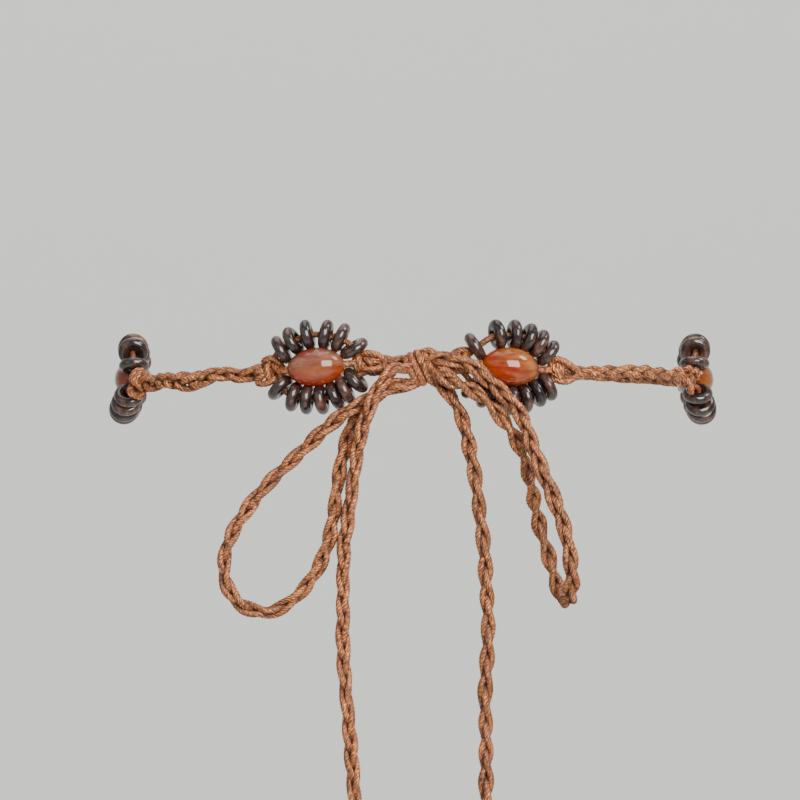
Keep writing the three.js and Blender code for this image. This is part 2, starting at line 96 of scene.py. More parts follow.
# The bead's hole cuts its tips off inside half_length, and taper sets how pointed it is. A ring's
# section is an oval, whose corners fill out as its squareness goes below 1.
BEAD = {
    "half_length": 0.0118, "radius": 0.0078, "taper": 1.12, "hole": 0.0013, "out": 0.0072,
    "rows": 41, "sides": 64,
}
RING = {
    "outer": 0.0063, "hole": 0.0014, "half_thickness": 0.00225, "squareness": 0.98,
    "rows": 25, "sides": 56,
}
# A ring's rim laps behind the bead's edge, its strand runs nearer the bead than the middle of its
# hole, and this far along the belt from the bead's middle it lies as deep as the hitches.
RING_CLEARANCE = -0.001
RING_STRAND_INSET = 0.0004
SINK_AT = 0.02
# How far beyond its tips a bead's strand is led straight out of it.
GAP = 0.00035

# Each medallion: its angle, how far its right end tilts up, how much deeper than the bead its rings
# lie, how far its lower row leans out, and its hitch knots at both ends: the distance along the belt
# from the bead, the height against the bead and how far the knot stands off the waist.
MEDALLIONS = [
    {
        "name": "left_side", "angle": -88, "tilt": 0, "deep": 0, "foot": 17,
        "knots": [(-0.02, -0.0005, 0.0039), (0.0204, -0.0011, 0.0052)],
    },
    {
        "name": "front_left", "angle": -25.2, "tilt": 6, "deep": 0.0018, "foot": 0,
        "knots": [(-0.0181, -0.001, 0.0039), (0.021, 0.0012, 0.0039)],
    },
    {
        "name": "front_right", "angle": 24.4, "tilt": -6.5, "deep": 0.0018, "foot": 0,
        "knots": [(-0.0192, 0.0024, 0.0039), (0.0192, -0.0012, 0.0039)],
    },
    {
        "name": "right_side", "angle": 88, "tilt": 0, "deep": 0, "foot": 12,
        "knots": [(-0.02, 0.0004, 0.0039), (0.02, -0.0005, 0.0039)],
    },
]

# Rings round a bead, as rows of: where the middle is, which way the ring points and how far it is
# turned about that, all in degrees, and how far it stands off its neighbours' curve.
PETALS = {
    "left_side": {
        "upper": [
            (150, 128, -4, -0.0002), (127, 118, 0, 0), (103, 102, -3, 0.0001), (78, 82, 4, 0.0001),
            (54, 66, 0, 0.0003), (21, 21, 0, 0.0001),
        ],
        "lower": [
            (-153, -138, 0, 0.0002), (-130, -116, 3, -0.0002), (-108, -100, 0, -0.0003),
            (-88, -88, 0, -0.0005), (-66, -74, 0, -0.0005), (-44, -60, 2, -0.0003), (-26, -46, 3, 0),
        ],
    },
    "front_left": {
        "upper": [
            (146, 115, 4, 0.0003), (123, 114, -6, -0.0001), (99, 98, 4, 0.0002), (71, 73, 2, -0.0002),
            (48, 58, 5, 0.0003), (22, 24, 15, 0.0002),
        ],
        "lower": [
            (-156, -140, 3, 0.0007), (-131, -113, 0, 0.0003), (-110, -101, -1, -0.0002),
            (-88, -87, 1, -0.0001), (-66, -71, -2, -0.0002), (-48, -69, -2, -0.0003),
            (-26, -55, 6, 0.0003),
        ],
    },
    "front_right": {
        "upper": [
            (154, 130, -6, -0.0003), (114, 108, 10, 0), (88, 94, 6, -0.0002), (67, 74, 7, 0),
            (48, 65, 6, 0.0003), (28, 56, 6, 0.0004),
        ],
        "lower": [
            (-143, -130, -3, 0.0008), (-122, -109, -1, 0.0001), (-102, -96, -2, -0.0001),
            (-82, -84, -6, 0), (-62, -71, -11, -0.0002), (-40, -59, -5, -0.0004), (-22, -55, -7, 0.0007),
        ],
    },
    "right_side": {
        "upper": [
            (156, 166, 0, 0.0006), (122, 110, 0, 0.0003), (101, 98, 0, 0.0001), (80, 84, -2, 0),
            (59, 68, 0, 0.0004), (34, 48, 0, 0),
        ],
        "lower": [
            (-157, -147, 0, 0.0001), (-135, -125, 2, -0.0001), (-114, -108, 0, -0.0003),
            (-94, -93, 0, -0.0003), (-72, -78, 0, -0.0003), (-50, -63, 0, -0.0002),
            (-28, -48, 3, 0.0001),
        ],
    },
}

# Routes, listed point by point. The plaits on the waist are rows of angle and height.
BRAID_LEFT_ROUTE = [
    (-71.3, -0.0043), (-68.5, -0.0029), (-65.5, -0.0025), (-62, -0.0031), (-58.5, -0.0039),
    (-55, -0.0035), (-51.5, -0.0008), (-47.5, 0.0001), (-44.5, -0.0011), (-43, -0.0006),
]
BRAID_RIGHT_ROUTE = [
    (43, 0.0006), (48, 0.0008), (53, 0.0008), (58, 0.001), (62, 0.0005), (66, 0), (70.5, -0.0007),
]
BACK = {"from": 110, "parts": 16}
# Where the belt's two ends reach inside the bow's knot.
BELT_END_LEFT = (0.0005, -0.088, 0.0046)
BELT_END_RIGHT = (0.0042, -0.0878, 0.006)

# The bow hangs free, and its routes are rows of x, y and z.
TAIL_LEFT_ROUTE = [
    (-0.0011, -0.092, 0.0022), (-0.0043, -0.0948, 0.0021), (-0.0075, -0.0962, 0.0021),
    (-0.0107, -0.0973, -0.0007), (-0.0138, -0.0984, -0.0046), (-0.0166, -0.0988, -0.0102),
    (-0.019, -0.0984, -0.0162), (-0.0218, -0.0972, -0.0257), (-0.0242, -0.0965, -0.0404),
    (-0.0262, -0.0965, -0.0551), (-0.028, -0.097, -0.0678), (-0.0285, -0.0975, -0.0813),
    (-0.0285, -0.098, -0.0948), (-0.0285, -0.0985, -0.1083), (-0.0277, -0.099, -0.1221),
    (-0.0263, -0.099, -0.1376), (-0.025, -0.099, -0.1535), (-0.024, -0.099, -0.1674),
    (-0.0234, -0.099, -0.181),
]
TAIL_RIGHT_ROUTE = [
    (0.0037, -0.088, 0.0006), (0.0065, -0.0882, -0.0018), (0.0101, -0.0884, -0.0046),
    (0.0137, -0.0888, -0.0082), (0.0173, -0.0894, -0.0142), (0.02, -0.0902, -0.0218),
    (0.0224, -0.0915, -0.0329), (0.0244, -0.0926, -0.0437), (0.0259, -0.094, -0.0564),
    (0.0275, -0.0952, -0.0691), (0.0283, -0.0965, -0.0841), (0.0291, -0.0975, -0.0988),
    (0.0286, -0.0982, -0.1138), (0.0278, -0.0986, -0.1289), (0.0282, -0.099, -0.1436),
    (0.0282, -0.099, -0.1575), (0.0282, -0.099, -0.181),
]
LOOP_LEFT_ROUTE = [
    (0.0009, -0.0926, -0.0033), (-0.0023, -0.0924, -0.0046), (-0.0059, -0.0923, -0.0043),
    (-0.0107, -0.0926, -0.0055), (-0.0163, -0.0934, -0.0089), (-0.0206, -0.0948, -0.0116),
    (-0.025, -0.0958, -0.014), (-0.0304, -0.096, -0.0178), (-0.0366, -0.0952, -0.023),
    (-0.0453, -0.094, -0.0313), (-0.0521, -0.0935, -0.0377), (-0.0592, -0.094, -0.0448),
    (-0.0672, -0.095, -0.0548), (-0.0723, -0.096, -0.0631), (-0.0751, -0.0965, -0.0706),
    (-0.0758, -0.097, -0.0782), (-0.0742, -0.097, -0.0853), (-0.0699, -0.097, -0.0913),
    (-0.0635, -0.097, -0.0944), (-0.0576, -0.097, -0.0948), (-0.052, -0.097, -0.0925),
    (-0.0464, -0.097, -0.0881), (-0.0417, -0.0967, -0.0825), (-0.0377, -0.0962, -0.0758),
    (-0.0349, -0.0956, -0.0687), (-0.033, -0.0948, -0.0607), (-0.0318, -0.0938, -0.0524),
    (-0.0306, -0.0926, -0.0429), (-0.0286, -0.0913, -0.0329), (-0.0263, -0.0898, -0.0242),
    (-0.0235, -0.0885, -0.0174), (-0.0187, -0.0876, -0.0114), (-0.0123, -0.0873, -0.0073),
    (-0.0059, -0.0873, -0.0049), (-0.0023, -0.0875, -0.0046), (0.0009, -0.0871, -0.0031),
]
LOOP_RIGHT_ROUTE = [
    (0.0037, -0.092, 0.0037), (0.0068, -0.094, 0.0049), (0.0108, -0.096, 0.0057),
    (0.0156, -0.0975, 0.0053), (0.0207, -0.0986, 0.0037), (0.0258, -0.0992, 0.0005),
    (0.0306, -0.1, -0.0043), (0.0377, -0.1015, -0.011), (0.0428, -0.1035, -0.0185),
    (0.0463, -0.106, -0.0284), (0.0497, -0.109, -0.0374), (0.0536, -0.112, -0.0468),
    (0.057, -0.1145, -0.0558), (0.0593, -0.116, -0.0636), (0.0607, -0.1168, -0.0711),
    (0.0615, -0.116, -0.0786), (0.0614, -0.1125, -0.0854), (0.0605, -0.107, -0.0896),
    (0.0587, -0.1005, -0.0899), (0.0569, -0.0953, -0.0858), (0.055, -0.093, -0.0791),
    (0.0527, -0.0923, -0.0708), (0.0503, -0.0925, -0.0632), (0.0483, -0.0935, -0.0552),
    (0.0462, -0.095, -0.0444), (0.043, -0.0965, -0.0325), (0.0382, -0.0978, -0.0229),
    (0.0322, -0.0986, -0.015), (0.0267, -0.0986, -0.0094), (0.0211, -0.098, -0.0058),
    (0.0164, -0.097, -0.0038), (0.012, -0.0955, -0.0019), (0.0076, -0.094, 0.0005),
    (0.0041, -0.0925, 0.0018),
]

# Strands of a hitch as rows of x away from the bead, y into the waist and z up.
TIGHT_HITCH = [
    [(-0.0044, 0.0006, 0.0022), (-0.0032, -0.0012, 0.0038), (-0.0008, -0.002, 0.0044),
     (0.002, -0.002, 0.0034), (0.0042, -0.0008, 0.0012), (0.0058, 0, 0)],
    [(-0.0042, 0.0006, -0.0022), (-0.0028, -0.0014, -0.0036), (0, -0.0022, -0.004),
     (0.0026, -0.0018, -0.003), (0.0044, -0.0008, -0.001), (0.0058, 0, 0)],
    [(-0.0016, 0.0016, 0.0034), (-0.0024, -0.0014, 0.0026), (-0.0012, -0.0031, 0.0008),
     (0.0008, -0.003, -0.0014), (0.002, -0.0014, -0.0032), (0.0014, 0.0012, -0.0034)],
    [(-0.0012, 0.0014, -0.0034), (-0.0024, -0.0012, -0.0026), (-0.0016, -0.0022, -0.0004),
     (0.0006, -0.0024, 0.0016), (0.0022, -0.0012, 0.003), (0.0018, 0.0012, 0.0032)],
    [(0.003, 0.0012, 0.0028), (0.0026, -0.0016, 0.002), (0.003, -0.0026, 0), (0.0026, -0.0016, -0.002),
     (0.003, 0.0012, -0.0028)],
    [(-0.0042, 0.0004, 0.0002), (-0.0028, -0.0016, 0.0004), (-0.0006, -0.0014, 0.0002),
     (0.0016, -0.0012, -0.0002), (0.004, 0, 0.0002)],
]
# Hitches that are seen closely, as rows of x to the right, y back and z up from their middles:
# the strands inside each of them, then their outer strands.
HITCH_CORE = [
    [(-0.0026, 0.0008, 0.0016), (0, 0.0003, 0), (0.0028, 0.0008, -0.002)],
    [(-0.0024, 0.0008, -0.0026), (0, 0.0005, -0.0004), (0.0026, 0.0008, 0.0022)],
    [(-0.0004, 0.0006, 0.003), (-0.0002, -0.0008, 0), (0.0002, 0.0006, -0.003)],
]
SEEN_HITCHES = {
    "hitch_front_left_a": [
        [(-0.0035, 0.0005, 0.002), (-0.0033, -0.0005, 0.0034), (-0.0019, -0.0015, 0.0043),
         (0.0001, -0.0022, 0.0045), (0.0017, -0.002, 0.0034), (0.0032, -0.0012, 0.0018), (0.0045, 0, 0),
         (0.0052, 0.001, -0.001)],
        [(-0.0016, 0, 0.0023), (-0.0022, -0.0026, 0.0005), (-0.0021, -0.003, -0.0013),
         (-0.0019, -0.0024, -0.0028), (-0.001, -0.0005, -0.0039)],
        [(-0.0005, 0, 0.0023), (0.001, -0.002, 0.0009), (0.0025, -0.003, -0.0004),
         (0.0034, -0.0026, -0.0017), (0.003, -0.0016, -0.0034), (0.0014, 0.0005, -0.0041)],
        [(-0.0069, 0, -0.005), (-0.0045, -0.0008, -0.0056), (-0.0021, -0.0016, -0.0054),
         (0.0001, -0.0018, -0.0044), (0.0012, -0.0005, -0.003)],
        [(-0.0076, 0, -0.0006), (-0.0054, -0.0008, -0.0006), (-0.0036, -0.001, -0.0008),
         (-0.0025, 0, -0.0013)],
        [(-0.0069, 0.0005, -0.0041), (-0.005, -0.0012, -0.0032), (-0.0034, -0.0016, -0.0021),
         (-0.0025, -0.0006, -0.001)],
    ],
    "hitch_front_left_b": [
        [(-0.0056, 0.0006, 0.003), (-0.0062, -0.0014, 0.0016), (-0.006, -0.0022, 0),
         (-0.0054, -0.002, -0.0018), (-0.0046, 0, -0.0031)],
        [(-0.0042, 0.0004, 0.0039), (-0.0048, -0.0018, 0.0026), (-0.0045, -0.003, 0.0008),
         (-0.0041, -0.0028, -0.0009), (-0.0034, -0.0008, -0.0024)],
        [(-0.0037, 0, 0.0034), (-0.0022, -0.0012, 0.0043), (0, -0.0018, 0.0042),
         (0.0024, -0.0018, 0.0036), (0.0044, -0.0014, 0.0023), (0.0057, -0.0008, 0.0006),
         (0.0068, 0, -0.0008)],
        [(-0.0016, 0.0004, 0.0026), (-0.0002, -0.0006, 0.0022), (0.002, -0.0008, 0.0015),
         (0.0042, -0.0004, 0.0002), (0.0053, 0.0004, -0.0007)],
        [(-0.0028, -0.0006, 0.002), (-0.0016, -0.002, 0.0014), (0, -0.0022, 0.0004),
         (-0.0004, -0.0012, -0.0009)],
        [(-0.0044, 0, -0.0007), (-0.0026, -0.0016, -0.0019), (0, -0.0022, -0.0022),
         (0.0024, -0.0018, -0.0019), (0.0051, -0.001, -0.0013), (0.0075, 0, -0.0007)],
        [(-0.0012, 0.0014, -0.0033), (0.0011, 0.0008, -0.0035), (0.0036, 0.0006, -0.0031),
         (0.0055, 0.0012, -0.0025)],
    ],
    "hitch_front_right_b": [
        [(-0.0028, 0.0006, 0.0043), (-0.001, -0.0008, 0.0045), (0.0008, -0.0016, 0.0042),
         (0.003, -0.0016, 0.0034), (0.0054, -0.0012, 0.002), (0.0078, -0.0006, 0),
         (0.0098, 0.0002, -0.0011)],
        [(-0.0028, -0.0004, 0.003), (-0.0017, -0.0026, 0.0015), (-0.0006, -0.0032, 0),
         (0.0006, -0.0028, -0.0012), (0.001, -0.001, -0.0024)],
        [(-0.0004, -0.0004, 0.0026), (0.0008, -0.0016, 0.0014), (0.0016, -0.002, 0.0002),
         (0.0024, -0.0016, -0.0007), (0.0026, 0, -0.0016)],
        [(0.0006, 0.0006, 0.0028), (0.0018, -0.0004, 0.0023), (0.003, -0.0002, 0.0017),
         (0.0038, 0.0008, 0.0012)],
        [(-0.0032, 0, -0.0006), (-0.002, -0.0016, -0.001), (-0.0004, -0.0024, -0.0016),
         (0.001, -0.0022, -0.0024), (0.0022, -0.001, -0.0034)],
        [(-0.0022, 0.0004, -0.0018), (-0.0014, -0.0008, -0.0029), (0.0001, -0.0014, -0.004),
         (0.0023, -0.0016, -0.0047), (0.0045, -0.0014, -0.0045), (0.0067, -0.001, -0.0034),
         (0.0089, -0.0004, -0.0022), (0.0108, 0.0002, -0.0013)],
    ],
    "hitch_left_side_b": [
        [(-0.001, -0.001, 0.0032), (-0.0009, -0.0028, 0.0014), (-0.001, -0.0026, -0.0008),
         (-0.0006, -0.001, -0.0024)],
        [(-0.0029, -0.0008, 0.0034), (-0.0026, -0.0028, 0.0016), (-0.0024, -0.0024, -0.0004)],
        [(-0.0033, 0, -0.0009), (-0.0036, -0.0018, 0.0012), (-0.0026, -0.002, 0.0034),
         (-0.0012, -0.0008, 0.0046), (-0.0004, 0.001, 0.0042)],
        [(-0.0019, -0.0006, -0.0002), (-0.0013, -0.0026, 0.002), (-0.0005, -0.0024, 0.0039),
         (0.0006, -0.001, 0.0045), (0.0012, 0.0002, 0.0026), (0.0009, 0.0008, 0.0004)],
        [(-0.0042, -0.0006, 0.0014), (-0.0032, -0.0024, 0.0004), (-0.0017, -0.0032, -0.0008),
         (0.0001, -0.0028, -0.0024), (0.001, -0.001, -0.004)],
        [(-0.0032, 0.0002, -0.001), (-0.0043, -0.0014, -0.0028), (-0.004, -0.0022, -0.0046),
         (-0.0023, -0.002, -0.0056), (-0.001, -0.0006, -0.005), (-0.0014, 0.0008, -0.0032)],
        [(-0.0004, 0, -0.003), (0.0009, -0.0016, -0.0037), (0.0011, -0.0018, -0.005),
         (-0.0002, -0.0012, -0.0061), (-0.0018, 0.0004, -0.0062)],
        [(-0.0004, -0.0008, 0.0007), (0.0006, -0.0014, 0.0005), (0.0024, -0.0008, -0.0002),
         (0.0044, 0, -0.0007), (0.0064, 0, 0.0002)],
        [(-0.0002, -0.001, -0.002), (0.0006, -0.0014, -0.0025), (0.0024, -0.0006, -0.003),
         (0.0046, 0.0002, -0.0026), (0.0064, 0.0004, -0.0012)],
    ],
    "hitch_right_side_a": [
        [(-0.0048, 0, 0.0016), (-0.004, -0.0016, 0.003), (-0.0022, -0.002, 0.0035),
         (-0.0006, -0.0012, 0.002), (-0.0004, 0.0004, 0)],
        [(-0.0008, -0.0002, 0.002), (0.0002, -0.0018, 0.0036), (0.0018, -0.002, 0.0041),
         (0.0029, -0.0012, 0.0029), (0.0022, 0.0002, 0.0012)],
        [(0.0022, 0, 0.0014), (0.0032, -0.0014, 0.0029), (0.0044, -0.0016, 0.0032),
         (0.0052, -0.0006, 0.0019), (0.0046, 0.0006, 0.0004)],
        [(-0.0022, -0.0006, 0.0022), (-0.0012, -0.0026, 0.001), (0.0003, -0.0034, -0.0005),
         (0.0019, -0.003, -0.0026), (0.0025, -0.0022, -0.005), (0.0022, -0.0012, -0.0068)],
        [(-0.0017, 0.0004, -0.0002), (-0.0018, -0.0006, -0.0016), (-0.0012, 0.0006, -0.003)],
        [(0.001, -0.0004, 0.0014), (0.0026, -0.0018, 0.0002), (0.0032, -0.0018, -0.0014),
         (0.0024, -0.0004, -0.003)],
        [(-0.0054, 0.0002, -0.0012), (-0.0038, -0.001, -0.0008), (-0.0022, -0.0014, -0.0006),
         (-0.0008, -0.0006, -0.0014)],
    ],
}

# The bow's knot. Its turns are rows of shift, half the height and half the depth: four outside and
# two that fill the knot.
BOW_KNOT = {
    "at": (0.0021, -0.0901, 0.0023),
    "lean": -22,
    "more_lean": -4,
    "turns": [
        (-0.0039, 0.007, 0.0052), (-0.0015, 0.0074, 0.0056), (0.0014, 0.0074, 0.0056),
        (0.0037, 0.0069, 0.0052), (-0.001, 0.0052, 0.004), (0.001, 0.0052, 0.004),
    ],
}
BOW_KNOT_END = [
    (0.0022, -0.0885, 0.006), (0.0048, -0.0925, 0.0092), (0.008, -0.0935, 0.008),
    (0.0105, -0.0945, 0.0062),
]
# A tail's knot: its turns, with their lean first, and the three loose strand ends below it.
TAIL_KNOT_TURNS = [
    (38, 0, 0.0042, 0.0032),
    (-36, 0.0002, 0.0038, 0.003),
    (8, -0.0016, 0.0032, 0.0027),
    (8, 0.0016, 0.0032, 0.0027),
]
TAIL_ENDS = [
    [
        (-0.0012, -0.0008, 0.002), (-0.0013, -0.0009, -0.001), (-0.0016, -0.001, -0.0045),
        (-0.0026, 0.0006, -0.0142),
    ],
    [(0, 0, 0.002), (0, 0.0001, -0.001), (0.0001, 0.0001, -0.0045), (-0.0001, 0, -0.0152)],
    [
        (0.0012, 0.0008, 0.002), (0.0013, 0.0009, -0.001), (0.0016, 0.001, -0.0045),
        (0.0026, -0.0006, -0.0142),
    ],
]

# Colours are linear red, green and blue. The cord's tones run through its fibres, and its shades
# multiply them: dark flecks, pale flecks that are painted glints, worn patches, each strand's tint
# and painted shade in the grooves between the yarns.
CORD_TONES = [(0.3, (0.1, 0.019, 0.003)), (0.48, (0.275, 0.08, 0.022)), (0.72, (0.82, 0.37, 0.14))]
CORD_SHADES = {
    # Dark flecks of fibre; the pale end is painted glints.
    "specks_and_glints": [(0.4, (0.28, 0.2, 0.15)), (0.51, (1, 1, 1)), (0.61, (2.7, 2.8, 2.8))],
    "patches": [(0.35, (0.74, 0.68, 0.62)), (0.65, (1.14, 1.14, 1.12))],
    "tint": [(0, (0.84, 0.8, 0.76)), (1, (1.1, 1.06, 1.02))],
    # Painted shade in the grooves between the yarns.
    "yarns": [(0.14, (0.2, 0.13, 0.09)), (0.7, (1, 1, 1))],
}
# Colour of the painted crevice shade where a plait's strands meet.
PAINTED_CREVICE_SHADE = (0.034, 0.006, 0.001)
# Roughness where there are no specks and on them.
CORD_GLINTS = [(0.46, (0.65, 0.65, 0.65)), (0.6, (0.26, 0.26, 0.26))]
# Noises along and round the strand: how they are scaled on each axis, size, detail and roughness.
CORD_FIBRES = ((1400, 40, 1), 1, 3, 0.6)
CORD_SPECKS = ((620, 15, 1), 1, 2, 0.6)
CORD_PATCHES = ((1, 1, 1), 130, 3)
CORD_GLOSS = {"Specular IOR Level": 0.6}
# Strength and height of each bump.
CORD_BUMPS = {"yarns": (0.8, 0.00025), "fibres": (0.6, 0.00014), "specks_and_glints": (0.9, 0.00025)}

WOOD_TONES = [(0.36, (0.012, 0.007, 0.008)), (0.52, (0.042, 0.022, 0.018)), (0.7, (0.12, 0.058, 0.04))]
WOOD_TINT = [(0, (0.62, 0.58, 0.6)), (1, (1.4, 1.15, 1.05))]
WOOD_STREAKS = ((1, 0.5, 0.6), 300, 3, 0.55)
WOOD_GLOSS = {"Roughness": 0.18, "Specular IOR Level": 0.7}
WOOD_BUMP = (0.35, 0.00012)

AGATE_VEINS = ((0.25, 0.25, 1), 520, 3, 0.55)
AGATE_VEIN_SHADES = [(0.36, (0.7, 0.55, 0.45)), (0.5, (1, 1, 1)), (0.64, (1.2, 1.5, 1.7))]
AGATE_VEIN_SHARE = 0.8
AGATE_CLOUDS = {"Detail": 3, "Distortion": 0.6}
AGATE_GLOSS = {
    "Roughness": 0.06, "Specular IOR Level": 0.55, "Subsurface Weight": 0.07,
    "Subsurface Radius": (1.0, 0.35, 0.12), "Subsurface Scale": 0.003,
}
# Each agate: how its tone runs along and up the bead, the size of its clouds and how much they
# stir the run, and its tones from one end of the run to the other.
AGATE_LOOKS = {
    "left_side": {
        "run": (0.1, 0.5), "clouds": 90, "stir": 0.5, "shift": (0.01, 0, 0),
        "tones": [(0.1, (0.24, 0.012, 0.006)), (0.45, (0.24, 0.03, 0.018)), (0.9, (0.15, 0.036, 0.034))],
    },
    "front_left": {
        "run": (-0.15, 1.0), "clouds": 60, "stir": 0.35, "shift": (0.03, 0, 0.002),
        "tones": [
            (0.1, (0.29, 0.016, 0.002)), (0.32, (0.27, 0.04, 0.007)), (0.5, (0.23, 0.064, 0.026)),
            (0.72, (0.24, 0.09, 0.056)), (0.95, (0.18, 0.028, 0.012)),
        ],
    },
    "front_right": {
        "run": (0.9, 0.35), "clouds": 70, "stir": 0.5, "shift": (0.02, 0, 0.004),
        "tones": [
            (0.1, (0.36, 0.05, 0.004)), (0.3, (0.27, 0.018, 0.002)), (0.5, (0.25, 0.052, 0.01)),
            (0.7, (0.32, 0.098, 0.018)), (0.95, (0.16, 0.034, 0.018)),
        ],
    },
    "right_side": {
        "run": (0.2, -0.5), "clouds": 70, "stir": 0.4, "shift": (0, 0.03, 0),
        "tones": [(0.1, (0.15, 0.03, 0.006)), (0.5, (0.24, 0.055, 0.004)), (0.9, (0.27, 0.09, 0.014))],
    },
}

STAGE = {
    "floor": -1.0, "radius": 5.0, "bend": 1.2, "bend_parts": 12, "top": 4.0, "sides": 96,
    "hole": 0.001,
}
STAGE_LOOK = {"Base Color": (0.87, 0.875, 0.84, 1), "Roughness": 0.9, "Specular IOR Level": 0.1}
CAMERA = {"sensor": 36, "lens": 192.9, "sees_to": 50, "at": (-0.0059, -1.8, -0.0106)}
WORLD = {"colour": (0.9, 0.92, 0.93), "strength": 0.48}
LIGHT_TARGET = (0, -0.06, -0.05)
BACKDROP_TARGET = (0, 5, -0.2)
# Each light: its name, place, what it points at, width, height, power and colour.
LIGHTS = [
    ("window_right", (0.57, -1.44, 0.47), LIGHT_TARGET, 0.95, 1.0, 40, (1, 1, 0.98)),
    ("window_side", (1.05, -0.3, 1.15), LIGHT_TARGET, 0.5, 0.5, 8, (0.97, 0.99, 1)),
    ("fill_left", (-1.6, -1.6, 0.7), LIGHT_TARGET, 1.8, 1.8, 5, (1, 0.99, 0.97)),
    ("fill_top", (-0.2, 0.1, 1.8), LIGHT_TARGET, 1.4, 1.4, 11, (1, 1, 1)),
    ("backdrop", (0, 1.8, 2.6), BACKDROP_TARGET, 2.0, 1.0, 78, (1, 1, 0.99)),
]


# Lines, and the two directions across them.


def unit(vectors):
    return vectors / np.linalg.norm(vectors, axis=-1, keepdims=True)


def lengths_along(line):
    steps = np.linalg.norm(np.diff(line, axis=0), axis=1)
    return np.concatenate([[0.0], np.cumsum(steps)])


def evenly(line, step):
    """The same line with its points evenly spaced."""
    along = lengths_along(line)
    count = max(2, round(along[-1] / step) + 1)
    at = np.linspace(0, along[-1], count)
    return np.stack([np.interp(at, along, line[:, axis]) for axis in range(3)], axis=1)


def between(p, q, begin, end, t):
    return ((end - t) * p + (t - begin) * q) / (end - begin)


def smooth_span(p0, p1, p2, p3, parts=24):
    """Points of a centripetal curve from p1 to p2, without p2 itself."""
    t1 = np.linalg.norm(p1 - p0) ** 0.5
    t2 = t1 + np.linalg.norm(p2 - p1) ** 0.5
    t3 = t2 + np.linalg.norm(p3 - p2) ** 0.5
    t = np.linspace(t1, t2, parts, endpoint=False)[:, None]
    a1 = between(p0, p1, 0, t1, t)
    a2 = between(p1, p2, t1, t2, t)
    a3 = between(p2, p3, t2, t3, t)
    return between(between(a1, a2, 0, t2, t), between(a2, a3, t1, t3, t), t1, t2, t)


def smooth_line(points, step=LINE_STEP):
    """A smooth line through the points."""
    points = np.array(points, float)
    before = 2 * points[0] - points[1]
    after = 2 * points[-1] - points[-2]
    chain = [before, *points, after]
    spans = [smooth_span(*chain[i : i + 4]) for i in range(len(points) - 1)]
    return evenly(np.concatenate([*spans, points[-1:]]), step)


def carried(line, wide):
    """Two unit directions across the line: wide, carried along it without twist, and the other."""
    tangents = unit(np.gradient(line, axis=0))
    wides = np.empty_like(line)
    for i, tangent in enumerate(tangents):
        wide = wide - np.dot(wide, tangent) * tangent
        wide = wide / np.linalg.norm(wide)
        wides[i] = wide
    return wides, np.cross(tangents, wides)


def swept(t):
    """From 0 to 1 with soft ends."""
    t = np.clip(t, 0, 1)
    return t * t * (3 - 2 * t)


def wave(along, per_metre):
    """A wave along a line, begun at random."""
    return np.sin(along * per_metre + draws.uniform(0, 6))


def plait_strands(line, plait):
    """The lines of a plait's three strands."""
    wides, thins = carried(line, UP)
    turn = math.radians(plait["turn"])
    across = math.cos(turn) * wides + math.sin(turn) * thins
    deep = math.cos(turn) * thins - math.sin(turn) * wides
    along = lengths_along(line)
    opened = np.ones(len(line))
    for distance in (along, along[-1] - along):
        opened *= GATHERED + (1 - GATHERED) * swept(distance / plait["gather_over"])
    ahead = wave(along, WOBBLE["ahead"]) + WOBBLE["again_share"] * wave(along, WOBBLE["ahead_again"])
    opened *= 1 + WOBBLE["width_share"] * wave(along, WOBBLE["width"])
    strands = []
    for k in range(3):
        phase = 2 * math.pi * (along / plait["pitch"] + k / 3) + plait["loose"] * ahead
        sideways = (opened * plait["across"] * np.sin(phase))[:, None] * across
        inward = (plait["deep"] * np.sin(2 * phase))[:, None] * deep
        strands.append(line + sideways + inward)
    return strands


# Meshes gathered from tubes and turned shapes.


